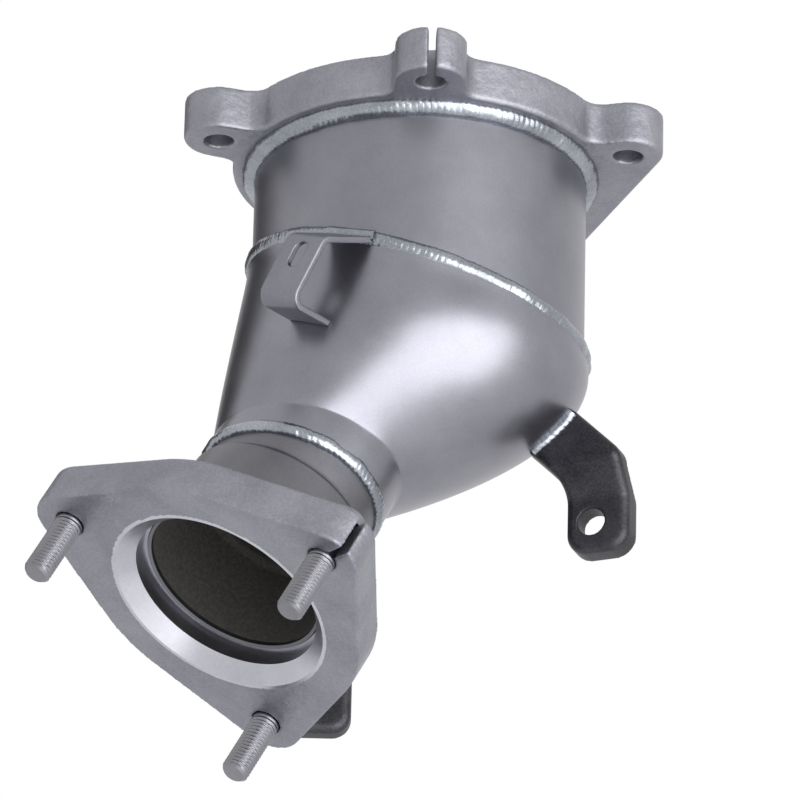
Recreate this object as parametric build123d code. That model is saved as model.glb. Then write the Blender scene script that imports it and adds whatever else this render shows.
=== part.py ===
from build123d import *
from math import cos, radians, sin, sqrt
import os

# Catalytic converter: a round catalyst can between a five-eared inlet flange and a turned outlet.
# Sizes are in millimetres and angles in degrees.
# The origin is the centre of the inlet flange's mating face, and +Z points out of that face.

# Gaps between pieces that slip into each other before they are welded
slip = 0.05

# Catalyst can
can_radius = 59.0
can_wall = 1.5
can_recess = 3.0

# Inlet flange, cast
inlet_ring_width = 8.0
inlet_ring_radius = can_radius + inlet_ring_width
inlet_bolt_offset = 9.0
inlet_bolt_radius = inlet_ring_radius + inlet_bolt_offset
inlet_lobe_radius = 12.5
inlet_ear_count = 5
inlet_first_ear = -88.0
inlet_thickness = 15.7
inlet_hole_radius = 5.25
inlet_ear_fillet = 7.0
web_first_ear = 1
cast_edge = 1.5
slit_width = 2.6

# Oblique joint between the can and the cone: its height on the axis, its tilt and its lowest side
joint_height = -70.0
joint_tilt = 16.8
joint_azimuth = -7.6
joint_lap = 6.0
sleeve_length = 6.5

# Outlet cone, drawn from sheet
cone_wall = 1.6
dome_start_power = 1.8
dome_end_power = 1.1
dome_steps = [0.0, 0.15, 0.3, 0.45, 0.6, 0.74, 0.87, 1.0]
lean_azimuth = 210.0
collar_start = 68.0
collar_start_skew = 13.5
collar_end = 56.5
collar_end_skew = 8.0

# Outlet pipe, and the outlet flange that it ends in
pipe_radius = 31.0
pipe_wall = 1.5
pipe_lap = 8.0
pipe_swell = 2.2
pipe_end_radius = pipe_radius + pipe_swell
pipe_end_depth = 11.5
pipe_flare = 3.0
pipe_flare_distance = 44.0
outlet_x = -65.5
outlet_y = -42.0
outlet_z = -198.3
outlet_tilt = 29.7
outlet_turn = 33.0
outlet_thickness = 16.0
outlet_ring_width = 19.8
outlet_ring_radius = pipe_end_radius + outlet_ring_width
outlet_bolt_offset = 5.0
outlet_bolt_radius = outlet_ring_radius + outlet_bolt_offset
outlet_lobe_radius = 12.8
outlet_ear_count = 3
outlet_first_ear = 48.0
outlet_bore_step = 1.1
outlet_bore_radius = pipe_end_radius + outlet_bore_step
outlet_seat_width = 5.2
outlet_seat_radius = outlet_bore_radius + outlet_seat_width
outlet_seat_depth = 5.5
pipe_socket_depth = 12.5

# Studs pressed into the outlet flange from behind, held by the knurled part of the shank
stud_radius = 5.0
stud_knurl = 0.4
stud_length = 25.0
stud_head_radius = 7.5
stud_head_height = 3.5
stud_point = 1.2
stud_head_edge = 1.0

# Weld beads
inlet_bead = 5.5
joint_bead = 2.4
neck_bead = 2.2
ring_bead_spread = 1.3
flange_bead = 4.5
bracket_bead = 2.2
bead_bulge = 0.62

# Ceramic monolith, its mat and the wire rings that guard the mat's edges
mat_thickness = 4.65
monolith_radius = can_radius - can_wall - mat_thickness
monolith_length = 50.0
monolith_top = -8.0
cell_pitch = 8.0
cell_wall = 2.0
cell_margin = 3.0
mat_inset = 5.0
ring_height = 3.0

# Brackets, pressed from sheet
sheet = 2.5
bend_inside = 1.6
bend_outside = bend_inside + sheet
rim_radius = 3.0

# Support bracket on the right of the cone, placed by its hole
hang_offset = 3.0
hang_x = can_radius + hang_offset
hang_y = 2.0
hang_z = -146.0
hang_turn = -22.0
hang_hole_radius = 5.0
hang_collar_wall = 2.2
hang_collar_depth = 8.5
hang_left = 9.5
hang_right = 13.6
hang_bottom = 11.2
hang_corner = 7.5
hang_rim = 10.0
hang_step = 10.0
hang_step_low = 8.5
hang_step_high = 19.5
hang_arm_right = 22.3
hang_arm_left = 14.7

# Slotted bracket on the left of the cone, placed by the lower right corner of its foot
bridge_offset = 6.1
bridge_azimuth = -117.0
bridge_z = -100.3
bridge_turn = -38.0
bridge_roll = 20.0
bridge_stand_off = 21.0
bridge_width = 17.0
bridge_face = 25.5
bridge_rise = 6.0
bridge_foot_rise = 11.5
bridge_slot_width = 5.5
bridge_slot_length = 10.0
bridge_slot_height = 18.5
bridge_sink = 16.0

# Rear bracket that hangs behind the outlet flange, placed by its hole
tail_x = -35.5
tail_inset = 30.0
tail_y = can_radius - tail_inset
tail_z = -200.8
tail_half_width = 15.5
tail_bottom = 15.5
tail_corner = 7.0
tail_rim = 8.0
tail_knee = 50.0
tail_slope_back = 36.0
tail_slope_up = 40.0
tail_hole_radius = 5.25


def tilted(tilt, turn):
    """Unit vector that points down, tilted towards an azimuth that is measured from -X to -Y."""
    t = radians(tilt)
    a = radians(turn)
    return Vector(-sin(t) * cos(a), -sin(t) * sin(a), -cos(t))


outlet_axis = tilted(outlet_tilt, outlet_turn)
outlet_centre = Vector(outlet_x, outlet_y, outlet_z)
outlet_x_dir = (Vector(1, 0, 0) - outlet_axis * outlet_axis.X).normalized()
outlet_plane = Plane(outlet_centre, x_dir=outlet_x_dir, z_dir=outlet_axis)


def joint_plane(drop):
    """Oblique plane of the joint, moved down by a drop along Z, with its x direction downhill."""
    return Plane(Pos(0, 0, joint_height - drop) * Rot(0, 0, joint_azimuth) * Rot(0, joint_tilt, 0))


def collar_plane(distance, skew):
    """Skewed plane across the outlet's axis, at a distance behind the mating face, facing it."""
    return Plane(outlet_plane.location * Pos(0, 0, -distance) * Rot(0, skew, 0))


def polar(radius, angle):
    return (radius * cos(radians(angle)), radius * sin(radians(angle)))


def outlet_outline():
    """Straight-sided outline round the outlet flange's ring and its ears."""
    ring = Circle(outlet_ring_radius)
    outline = ring
    for k in range(outlet_ear_count):
        angle = outlet_first_ear + k * 360 / outlet_ear_count
        ear = Pos(*polar(outlet_bolt_radius, angle)) * Circle(outlet_lobe_radius)
        outline += make_hull(ring.edges() + ear.edges())
    return outline


def slit(bolt_radius, angle, reach, depth):
    """Cutter for the saw cut from a bolt hole out through its ear."""
    cut = Pos(bolt_radius + reach / 2, 0, -depth / 2) * Box(reach, slit_width, depth)
    return Rot(0, 0, angle) * cut


def round_rim(body, radius):
    """Rounds the outer edge of a cast flange's back."""
    back = body.faces().sort_by(Axis.Z)[0]
    return fillet(back.outer_wire().edges(), radius)


def inlet_outline():
    outline = Circle(inlet_ring_radius)
    step = 360 / inlet_ear_count
    for k in range(inlet_ear_count):
        angle = inlet_first_ear + k * step
        ear = Pos(inlet_bolt_radius / 2, 0) * Rectangle(inlet_bolt_radius, 2 * inlet_lobe_radius)
        outline += Rot(0, 0, angle) * ear
        outline += Pos(*polar(inlet_bolt_radius, angle)) * Circle(inlet_lobe_radius)
    return outline


def inlet_web():
    """Web of full thickness that joins two neighbouring ears."""
    step = 360 / inlet_ear_count
    first = inlet_first_ear + web_first_ear * step
    pair = []
    for angle in (first, first + step):
        pair += (Pos(*polar(inlet_bolt_radius, angle)) * Circle(inlet_lobe_radius)).edges()
    return make_hull(pair)


def make_inlet_flange():
    outline = inlet_outline()
    roots = [v for v in outline.vertices() if sqrt(v.X**2 + v.Y**2) < inlet_ring_radius + slip]
    outline = fillet(roots, inlet_ear_fillet)
    outline += inlet_web()
    body = extrude(outline, -inlet_thickness)
    body = round_rim(body, cast_edge)
    body -= Pos(0, 0, -inlet_thickness / 2) * Cylinder(can_radius + slip, 2 * inlet_thickness)
    step = 360 / inlet_ear_count
    for k in range(inlet_ear_count):
        x, y = polar(inlet_bolt_radius, inlet_first_ear + k * step)
        body -= Pos(x, y, -inlet_thickness / 2) * Cylinder(inlet_hole_radius, 2 * inlet_thickness)
    body -= slit(inlet_bolt_radius, inlet_first_ear, 2 * inlet_lobe_radius, inlet_thickness)
    return body


def make_can():
    return can_block(can_radius) - can_block(can_radius - can_wall)


def can_block(radius):
    """Solid cylinder round the can's axis, from the can's rim to its oblique lower edge."""
    length = -joint_height + 2 * can_radius
    block = Pos(0, 0, -can_recess - length / 2) * Cylinder(radius, length)
    return split(block, joint_plane(joint_lap), keep=Keep.TOP)


def dome_section(share, inset):
    """Elliptical section of the dome, at a share of the way from the sleeve to the collar."""
    top = joint_plane(sleeve_length)
    end = collar_plane(collar_start, collar_start_skew)
    top_radius = can_radius + slip + cone_wall - inset
    end_radius = pipe_radius + slip + cone_wall - inset
    top_wide = top_radius / cos(radians(joint_tilt))
    end_wide = end_radius / cos(radians(collar_start_skew))
    lean_x = cos(radians(lean_azimuth))
    lean_y = sin(radians(lean_azimuth))
    # The side that leans stays straight, and the section shrinks away from it.
    top_edge = top.origin + top.x_dir * (top_wide * lean_x) + top.y_dir * (top_radius * lean_y)
    end_edge = end.origin + end.x_dir * (end_wide * lean_x) - end.y_dir * (end_radius * lean_y)
    edge = top_edge * (1 - share) + end_edge * share
    shrink = 1 - (1 - share**dome_start_power) ** dome_end_power
    x_dir = (top.x_dir * (1 - shrink) + end.x_dir * shrink).normalized()
    z_dir = (top.z_dir * (1 - shrink) - end.z_dir * shrink).normalized()
    x_dir = (x_dir - z_dir * x_dir.dot(z_dir)).normalized()
    wide = top_wide * (1 - shrink) + end_wide * shrink
    deep = top_radius * (1 - shrink) + end_radius * shrink
    centre = edge - x_dir * (wide * lean_x) - z_dir.cross(x_dir) * (deep * lean_y)
    return Plane(centre, x_dir=x_dir, z_dir=z_dir) * Ellipse(wide, deep)


def sleeve_block(radius, above):
    """Solid cylinder round the can's axis, from above the joint's plane down to the dome."""
    block = Pos(0, 0, joint_height) * Cylinder(radius, 8 * can_radius)
    block = split(block, joint_plane(-above), keep=Keep.BOTTOM)
    return split(block, joint_plane(sleeve_length), keep=Keep.TOP)


def collar_block(radius, past):
    """Solid cylinder round the outlet's axis, from the dome to the collar's end and past it."""
    block = outlet_plane * Pos(0, 0, -collar_end) * Cylinder(radius, 8 * pipe_radius)
    block = split(block, collar_plane(collar_start, collar_start_skew), keep=Keep.TOP)
    return split(block, collar_plane(collar_end - past, collar_end_skew), keep=Keep.BOTTOM)


def dome_block(inset):
    return loft([dome_section(share, inset) for share in dome_steps])


def cone_outside():
    """The cone's outer form, filled."""
    outside = sleeve_block(can_radius + slip + cone_wall, 0)
    outside += dome_block(0)
    outside += collar_block(pipe_radius + slip + cone_wall, 0)
    return outside


def make_outlet_cone():
    shell = cone_outside() - dome_block(cone_wall)
    shell -= sleeve_block(can_radius + slip, cone_wall)
    return shell - collar_block(pipe_radius + slip, cone_wall)


def make_outlet_pipe():
    """Short pipe whose lower end is widened to the flange's socket."""
    top = collar_end + pipe_lap
    points = [(pipe_radius, -top), (pipe_radius, -pipe_flare_distance - pipe_flare)]
    points.append((pipe_end_radius, -pipe_flare_distance))
    points.append((pipe_end_radius, -pipe_end_depth))
    inner = [(radius - pipe_wall, z) for radius, z in reversed(points)]
    wall = Plane.XZ * make_face(Polyline(*points, *inner, close=True))
    return outlet_plane * revolve(wall, Axis.Z)


def stud_places():
    for k in range(outlet_ear_count):
        x, y = polar(outlet_bolt_radius, outlet_first_ear + k * 360 / outlet_ear_count)
        yield outlet_plane * Pos(x, y, 0)


def make_outlet_flange():
    outline = outlet_outline()
    body = extrude(outline, -outlet_thickness)
    body = round_rim(body, cast_edge)
    body -= Pos(0, 0, -outlet_thickness) * Cylinder(pipe_end_radius + slip, 2 * outlet_thickness)
    body -= Pos(0, 0, -pipe_socket_depth / 2) * Cylinder(outlet_bore_radius, pipe_socket_depth)
    seat = Cone(outlet_bore_radius, outlet_seat_radius, outlet_seat_depth)
    body -= Pos(0, 0, -outlet_seat_depth / 2) * seat
    body -= slit(outlet_bolt_radius, outlet_first_ear, 2 * outlet_lobe_radius, outlet_thickness)
    body = outlet_plane * body
    for place in stud_places():
        body -= place * Cylinder(stud_radius + stud_knurl, 3 * outlet_thickness)
    return body


def make_stud():
    shank = Pos(0, 0, stud_length / 2) * Cylinder(stud_radius, stud_length)
    shank = chamfer(shank.faces().sort_by(Axis.Z)[-1].edges(), stud_point)
    knurl = Pos(0, 0, -outlet_thickness / 2) * Cylinder(stud_radius + stud_knurl, outlet_thickness)
    head = Pos(0, 0, -outlet_thickness - stud_head_height / 2) * Cylinder(stud_head_radius, stud_head_height)
    head = chamfer(head.faces().sort_by(Axis.Z)[0].edges(), stud_head_edge)
    return shank + knurl + head


def fillet_bead(inner_radius, leg, z):
    """Ring of weld in the corner between a face at height z, above it, and a tube."""
    corner = (inner_radius, z)
    outer = (inner_radius + leg, z)
    lower = (inner_radius, z - leg)
    crown = (inner_radius + bead_bulge * leg, z - bead_bulge * leg)
    lines = [Line(corner, outer), ThreePointArc(outer, crown, lower), Line(lower, corner)]
    return revolve(Plane.XZ * make_face(lines), Axis.Z)


def ring_bead(plane, tube_radius, skew, bead):
    """Bead along the ellipse where a plane cuts a tube at a skew, wider than it is high."""
    path = (plane * Ellipse(tube_radius / cos(radians(skew)), tube_radius)).edges()[0]
    section = Plane(path @ 0, x_dir=plane.z_dir, z_dir=path % 0) * Ellipse(ring_bead_spread * bead, bead)
    return sweep(section, path)


def make_joint_weld():
    bead = ring_bead(joint_plane(0), can_radius + slip, joint_tilt, joint_bead)
    core = Pos(0, 0, joint_height) * Cylinder(can_radius, 4 * can_radius)
    return bead - core - sleeve_block(can_radius + slip + cone_wall, 0)


def make_neck_weld():
    plane = collar_plane(collar_end, collar_end_skew)
    bead = ring_bead(plane, pipe_radius + slip, collar_end_skew, neck_bead)
    core = outlet_plane * Pos(0, 0, -collar_end) * Cylinder(pipe_radius, 4 * pipe_radius)
    return bead - core - collar_block(pipe_radius + slip + cone_wall, 0)


def make_monolith():
    z = monolith_top - monolith_length / 2
    reach = int(monolith_radius / cell_pitch) + 1
    holes = []
    for i in range(-reach, reach + 1):
        for j in range(-reach, reach + 1):
            x, y = i * cell_pitch, j * cell_pitch
            if sqrt(x**2 + y**2) + cell_pitch / sqrt(2) < monolith_radius - cell_margin + cell_wall:
                holes.append(Pos(x, y) * Rectangle(cell_pitch - cell_wall, cell_pitch - cell_wall))
    face = Circle(monolith_radius) - holes
    return Pos(0, 0, z - monolith_length / 2) * extrude(face, monolith_length)


def ring_block(outer, inner, top, height):
    return Pos(0, 0, top - height / 2) * (Cylinder(outer, height) - Cylinder(inner, 2 * height))


def make_rings_and_mat():
    """Support mat between the monolith and the can, with a wire ring above and below it."""
    outer = can_radius - can_wall
    inner = monolith_radius
    top = monolith_top - mat_inset + ring_height
    mat_length = monolith_length - 2 * mat_inset
    mat = ring_block(outer, inner, monolith_top - mat_inset, mat_length)
    upper = ring_block(outer, inner, top, ring_height)
    lower = ring_block(outer, inner, monolith_top - mat_inset - mat_length, ring_height)
    return mat, upper, lower


def pressed(front, bends, outline, rim):
    """Sheet pressing: front is its side view, outline its front view, and its rims turn back."""
    skin = Plane.YZ * FilletPolyline(*front, radius=bends)
    inner_skin = skin.offset_2d(sheet, side=Side.LEFT, closed=False)
    outer = pressing_layer(skin, front, outline, rim)
    inner = pressing_layer(inner_skin, front, offset(outline, -sheet), rim + sheet)
    return fillet(skin_rim(outer, skin), rim_radius) - inner


def pressing_layer(skin, front, outline, depth):
    """Solid behind a skin, as wide as the outline and as deep as the rims."""
    reach = 2 * max(abs(value) for point in front for value in point)
    low_end, high_end = sorted((skin @ 0, skin @ 1), key=lambda end: end.Z)
    far = [Vector(0, y + depth, z) for y, z in reversed(front)]
    side = make_face([*skin.edges(), *Polyline(high_end, *far, low_end).edges()])
    return extrude(side, reach, both=True) & extrude(Plane.XZ * outline, reach, both=True)


def skin_rim(layer, near):
    """Edges along which the sides of a pressing turn back from its skin."""
    low = layer.bounding_box().min.Z
    rim = []
    for edge in layer.edges():
        spots = [edge @ share for share in (0, 0.5, 1)]
        on_skin = max(near.distance_to(Vector(0, spot.Y, spot.Z)) for spot in spots) < slip
        across = abs((edge % 0.5).X) > 1 - slip
        if on_skin and (not across or spots[1].Z < low + slip):
            rim.append(edge)
    return rim


def trimmed(bracket, shell):
    """What is left of a bracket outside the shell that it is welded to."""
    return (bracket - shell).solids().sort_by(SortBy.VOLUME)[-1]


def foot_bead(bracket, shell):
    """Bead of weld along the longest edge where a bracket meets the shell."""
    foot = []
    for edge in bracket.edges():
        if max(shell.distance_to(edge @ share) for share in (0, 0.5, 1)) < slip:
            foot.append(edge)
    path = max(foot, key=lambda edge: edge.length)
    section = Plane(path @ 0, z_dir=path % 0) * Circle(bracket_bead)
    bead = sweep(section, path) - shell - bracket
    return bead.solids().sort_by(SortBy.VOLUME)[-1]


def make_support_bracket(shell):
    """Channel with a stepped arm and a hole whose collar is drawn to the back."""
    low, high = hang_step_low, hang_step_high
    reach = can_radius / sqrt(2)
    front = [(0, -hang_bottom), (0, low), (-hang_step, high), (-hang_step, high + 2 * reach)]
    points = [(-hang_left, -hang_bottom), (hang_right, -hang_bottom), (hang_right, hang_arm_right)]
    points.append((hang_right - reach, hang_arm_right + reach))
    points.append((-hang_left - reach, hang_arm_left + reach))
    points.append((-hang_left, hang_arm_left))
    outline = make_face(Polyline(*points, close=True))
    outline = fillet(outline.vertices().sort_by(Axis.Y)[:4], hang_corner)
    bracket = pressed(front, (bend_inside, bend_outside), outline, hang_rim)
    collar = Rot(-90, 0, 0) * Pos(0, 0, hang_collar_depth / 2)
    bracket += collar * Cylinder(hang_hole_radius + hang_collar_wall, hang_collar_depth)
    bracket -= collar * Cylinder(hang_hole_radius, 4 * hang_collar_depth)
    return trimmed(Pos(hang_x, hang_y, hang_z) * Rot(0, 0, hang_turn) * bracket, shell)


def make_rear_bracket(shell):
    """Channel that leaves the back of the cone on a slope and hangs straight down."""
    top = tail_knee + tail_slope_up
    front = [(0, -tail_bottom), (0, tail_knee), (-2 * tail_slope_back, tail_knee + 2 * tail_slope_up)]
    outline = Pos(0, (top - tail_bottom) / 2) * Rectangle(2 * tail_half_width, top + tail_bottom)
    outline = fillet(outline.vertices().sort_by(Axis.Y)[:2], tail_corner)
    bracket = pressed(front, (bend_inside,), outline, tail_rim)
    bracket -= Rot(-90, 0, 0) * Cylinder(tail_hole_radius, 4 * sheet)
    return trimmed(Pos(tail_x, tail_y, tail_z) * bracket, shell)


def make_bridge_bracket(shell):
    """Strip with a slotted face, which stands off the cone on its two bent feet."""
    top = bridge_face + bridge_foot_rise
    points = [(bridge_sink, 0), (-bridge_stand_off, 0), (-bridge_stand_off + bridge_rise, bridge_face)]
    points.append((bridge_sink, top))
    band = trace(FilletPolyline(*points, radius=bend_outside), sheet)
    strip = extrude(Plane.YZ * band, -bridge_width)
    slot = extrude(Rot(0, 0, 90) * SlotOverall(bridge_slot_length, bridge_slot_width), bridge_stand_off + sheet)
    slot = Pos(-bridge_width / 2, 0, bridge_slot_height) * Rot(90, 0, 0) * slot
    corner = Pos(*polar(can_radius + bridge_offset, bridge_azimuth), bridge_z)
    return trimmed(corner * Rot(0, 0, bridge_turn) * Rot(0, bridge_roll, 0) * (strip - slot), shell)


def save(name, shape):
    shape.label = name
    export_step(shape, f"parts/{name}.step")


def main():
    os.makedirs("parts", exist_ok=True)
    save("inlet_flange", make_inlet_flange())
    save("catalyst_can", make_can())
    save("outlet_cone", make_outlet_cone())
    save("outlet_pipe", make_outlet_pipe())
    save("outlet_flange", make_outlet_flange())
    save("outlet_studs", Compound([place * make_stud() for place in stud_places()]))
    save("inlet_weld", fillet_bead(can_radius, inlet_bead, -inlet_thickness))
    joint_weld = make_joint_weld()
    save("joint_weld", joint_weld)
    save("neck_weld", make_neck_weld())
    bead = fillet_bead(pipe_end_radius, flange_bead, -outlet_thickness)
    save("flange_weld", outlet_plane * bead)
    save("monolith", make_monolith())
    mat, upper, lower = make_rings_and_mat()
    save("support_mat", mat)
    save("mat_ring_upper", upper)
    save("mat_ring_lower", lower)
    shell = can_block(can_radius) + cone_outside() + joint_weld
    brackets = {"support": make_support_bracket, "bridge": make_bridge_bracket, "rear": make_rear_bracket}
    for name, make in brackets.items():
        bracket = make(shell)
        save(f"{name}_bracket", bracket)
        save(f"{name}_bracket_weld", foot_bead(bracket, shell))


main()
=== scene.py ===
import math

import bmesh
import bpy
from mathutils import Matrix, Vector
from mathutils.bvhtree import BVHTree


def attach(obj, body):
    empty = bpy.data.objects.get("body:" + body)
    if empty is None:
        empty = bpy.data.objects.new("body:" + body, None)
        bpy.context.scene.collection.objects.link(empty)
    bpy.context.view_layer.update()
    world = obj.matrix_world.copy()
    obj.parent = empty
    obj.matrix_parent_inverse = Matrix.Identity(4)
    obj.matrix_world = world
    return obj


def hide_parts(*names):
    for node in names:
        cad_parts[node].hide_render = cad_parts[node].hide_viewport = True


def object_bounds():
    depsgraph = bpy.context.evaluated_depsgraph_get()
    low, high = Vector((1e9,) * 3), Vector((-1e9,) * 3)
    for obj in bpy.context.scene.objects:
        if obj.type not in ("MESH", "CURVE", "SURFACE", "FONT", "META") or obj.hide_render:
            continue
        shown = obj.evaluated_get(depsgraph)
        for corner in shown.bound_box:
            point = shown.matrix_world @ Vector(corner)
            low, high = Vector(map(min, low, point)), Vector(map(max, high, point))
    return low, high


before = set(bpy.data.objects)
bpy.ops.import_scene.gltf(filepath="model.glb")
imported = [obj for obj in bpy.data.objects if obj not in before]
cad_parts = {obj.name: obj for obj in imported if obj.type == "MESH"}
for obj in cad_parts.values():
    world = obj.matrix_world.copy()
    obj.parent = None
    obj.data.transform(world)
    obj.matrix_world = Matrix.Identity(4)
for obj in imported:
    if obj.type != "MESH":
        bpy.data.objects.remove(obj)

CAD_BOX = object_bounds()
MIDDLE = (Vector(CAD_BOX[0]) + Vector(CAD_BOX[1])) / 2

# Catalytic converter. Lengths are millimetres and angles degrees, and the meshes come out in metres.
# The origin is the centre of the inlet flange's mating face, and +Z points out of that face.
MM = 0.001
BODY = "root"

SLIP = 0.05
CAN_RADIUS = 59.0
CAN_WALL = 1.5
CAN_RECESS = 3.0
JOINT_HEIGHT = -70.0
JOINT_TILT = 16.8
JOINT_AZIMUTH = -7.6
JOINT_LAP = 6.0
SLEEVE_LENGTH = 6.5
CAN_SIDES = 256

INLET_RING = 67.0
INLET_BOLT = 76.0
INLET_LOBE = 12.5
INLET_EARS = 5
INLET_FIRST_EAR = -88.0
INLET_THICKNESS = 15.7
INLET_HOLE = 5.25
INLET_FILLET = 7.0
INLET_WEB_EARS = (1, 2)
SLIT_WIDTH = 2.6
EDGE_BREAK = 1.0

CONE_WALL = 1.6
DOME_START_POWER = 1.8
DOME_END_POWER = 1.1
LEAN_AZIMUTH = 210.0
COLLAR_START = 68.0
COLLAR_START_SKEW = 13.5
COLLAR_END = 56.5
COLLAR_END_SKEW = 8.0
CONE_SIDES = 240
SLEEVE_STEPS = 6
DOME_STEPS = 48
COLLAR_STEPS = 12
CORNER_ROUNDS = 4

PIPE_RADIUS = 31.0
PIPE_WALL = 1.5
PIPE_LAP = 8.0
PIPE_END_RADIUS = 33.2
PIPE_END_DEPTH = 11.5
PIPE_LIP = 2.0
PIPE_FLARE = 3.0
PIPE_FLARE_DISTANCE = 44.0
PIPE_FLARE_STEPS = 6
PIPE_END_BREAK = 0.4
PIPE_END_RUN = 0.5
OUTLET_CENTRE = (-65.5, -42.0, -198.3)
OUTLET_TILT = 29.7
OUTLET_TURN = 33.0
OUTLET_THICKNESS = 16.0
OUTLET_RING = 53.0
OUTLET_BOLT = 58.0
OUTLET_LOBE = 12.8
OUTLET_EARS = 3
OUTLET_FIRST_EAR = 48.0
OUTLET_BORE = 34.3
OUTLET_SEAT = 39.5
OUTLET_SEAT_DEPTH = 5.5
SEAT_RIM = 0.5
SEAT_HOLD = 1.0
SOCKET_DEPTH = 12.5

STUD_RADIUS = 5.0
STUD_LENGTH = 25.0
STUD_POINT = 1.2
STUD_HEAD_RADIUS = 7.5
STUD_HEAD_HEIGHT = 3.5
THREAD_PITCH = 1.5
THREAD_DEPTH = 0.75
THREAD_ROWS = 10
THREAD_RUNOUT = 0.5
SHANK_SIDES = 28
HEAD_SIDES = 40

INLET_BEAD = 5.5
JOINT_BEAD = 2.4
NECK_BEAD = 2.2
RING_BEAD_SPREAD = 1.3
FLANGE_BEAD = 4.5
BRACKET_BEAD = 2.2
HANG_TURN = -22.0
FOOT_GAP = 0.25
# Real ripples lie about 1 mm apart, and these are drawn wider so that they show.
RIPPLE_PITCH = 2.1
RIPPLE_DEPTH = 0.14
BEAD_WANDER = 1.4
BEAD_ROOT = 1.0
BEAD_SIDES = 18
BEAD_ENDS = 5.0
FOOT_TAPER = 0.85
FOOT_POINTS = 12
FOOT_BEAD_SPREAD = 1.1
CORNER_HEIGHT = 0.4
CORNER_WIDTH = 0.64
CORNER_SHIFT = 0.3
RIPPLE_STEPS = 8
RIPPLE_BOW = 0.7
WANDER_SCALE = 0.14
CAN_RING_POINTS = 240
PIPE_RING_POINTS = 180

MONOLITH_RADIUS = 52.85
MONOLITH_LENGTH = 50.0
MONOLITH_TOP = -8.0
# Real channels lie 1.27 mm apart with walls of 0.17 mm, and these are drawn coarser so that they show.
CELL_PITCH = 1.35
CELL_WALL = 0.28
CELL_MARGIN = 0.9
MONOLITH_SKIN = 1.4
SKIN_SIDES = 240

# Castings and pressings are rebuilt from small cells, smoothed, and thinned to a share of their faces.
INLET_GRID = 0.65
OUTLET_GRID = 0.62
BRACKET_GRID = 0.45
CAST_ROUNDS = 7
PRESSED_ROUNDS = 6
KEPT_FACES = 0.4

TURNED_SIDES = 192


def turn(axis, degrees):
    return Matrix.Rotation(math.radians(degrees), 4, axis)


def move(x, y, z):
    return Matrix.Translation((x, y, z))


def outlet_place():
    """Frame of the outlet flange: origin in its mating face, Z out of that face."""
    tilt = math.radians(OUTLET_TILT)
    azimuth = math.radians(OUTLET_TURN)
    side = -math.sin(tilt)
    z = Vector((side * math.cos(azimuth), side * math.sin(azimuth), -math.cos(tilt)))
    x = (Vector((1, 0, 0)) - z * z.x).normalized()
    y = z.cross(x)
    rows = [(x[i], y[i], z[i], OUTLET_CENTRE[i]) for i in range(3)]
    return Matrix(rows + [(0, 0, 0, 1)])


OUTLET = outlet_place()


def joint_place(drop):
    return move(0, 0, JOINT_HEIGHT - drop) @ turn("Z", JOINT_AZIMUTH) @ turn("Y", JOINT_TILT)


def collar_place(distance, skew):
    return OUTLET @ move(0, 0, -distance) @ turn("Y", skew)


def direction(place, column):
    return place.to_3x3().col[column].copy()


def polar(radius, degrees):
    angle = math.radians(degrees)
    return Vector((radius * math.cos(angle), radius * math.sin(angle), 0))


def ellipse(place, wide, deep, count, flip=1):
    """Ring of points on an ellipse in a plane, whose y direction may be flipped."""
    ring = []
    for k in range(count):
        angle = 2 * math.pi * k / count
        ring.append(place @ Vector((wide * math.cos(angle), flip * deep * math.sin(angle), 0)))
    return ring


def build_mesh(name, vertices, faces, place=None):
    """Mesh object at the origin from points in millimetres, with its normals pointing outwards."""
    mesh = bpy.data.meshes.new(name)
    points = [(place @ Vector(v) if place else Vector(v)) * MM for v in vertices]
    mesh.from_pydata([tuple(p) for p in points], [], faces)
    piece = bpy.data.objects.new(name, mesh)
    bpy.context.scene.collection.objects.link(piece)
    clean_mesh(mesh, 1e-7)
    return piece


def clean_mesh(mesh, distance):
    work = bmesh.new()
    work.from_mesh(mesh)
    bmesh.ops.remove_doubles(work, verts=work.verts, dist=distance)
    bmesh.ops.recalc_face_normals(work, faces=work.faces)
    work.to_mesh(mesh)
    work.free()


def shade(piece, degrees=35):
    """Smooth shading, with edges sharper than the angle kept crisp."""
    mesh = piece.data
    mesh.polygons.foreach_set("use_smooth", [True] * len(mesh.polygons))
    mesh.set_sharp_from_angle(angle=math.radians(degrees))
    mesh.update()


def loop_rings(name, rings, place=None):
    """Closed shell through a loop of rings, the last joined to the first."""
    count = len(rings[0])
    vertices = [point for ring in rings for point in ring]
    faces = []
    for i in range(len(rings)):
        a = i * count
        b = (i + 1) % len(rings) * count
        for k in range(count):
            n = (k + 1) % count
            faces.append((a + k, a + n, b + n, b + k))
    return build_mesh(name, vertices, faces, place)


def lathe(name, profile, place=None, count=TURNED_SIDES):
    """Turned shell: profile holds (radius, height) pairs round its wall."""
    angles = [360 * k / count for k in range(count)]
    rings = [[polar(radius, a) + Vector((0, 0, z)) for a in angles] for radius, z in profile]
    return loop_rings(name, rings, place)


def relax(rings, first, last, rounds):
    """Rounds the corners that a stack of rings has between two of them."""
    for _ in range(rounds):
        before = [[p.copy() for p in ring] for ring in rings]
        for i in range(max(first, 1), min(last, len(rings) - 1)):
            for k in range(len(rings[i])):
                rings[i][k] = (before[i - 1][k] + 2 * before[i][k] + before[i + 1][k]) / 4


def evaluated(piece):
    """Applies the modifiers of a piece to its mesh and removes them."""
    graph = bpy.context.evaluated_depsgraph_get()
    mesh = bpy.data.meshes.new_from_object(piece.evaluated_get(graph))
    piece.modifiers.clear()
    piece.data = mesh
    return piece


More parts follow.
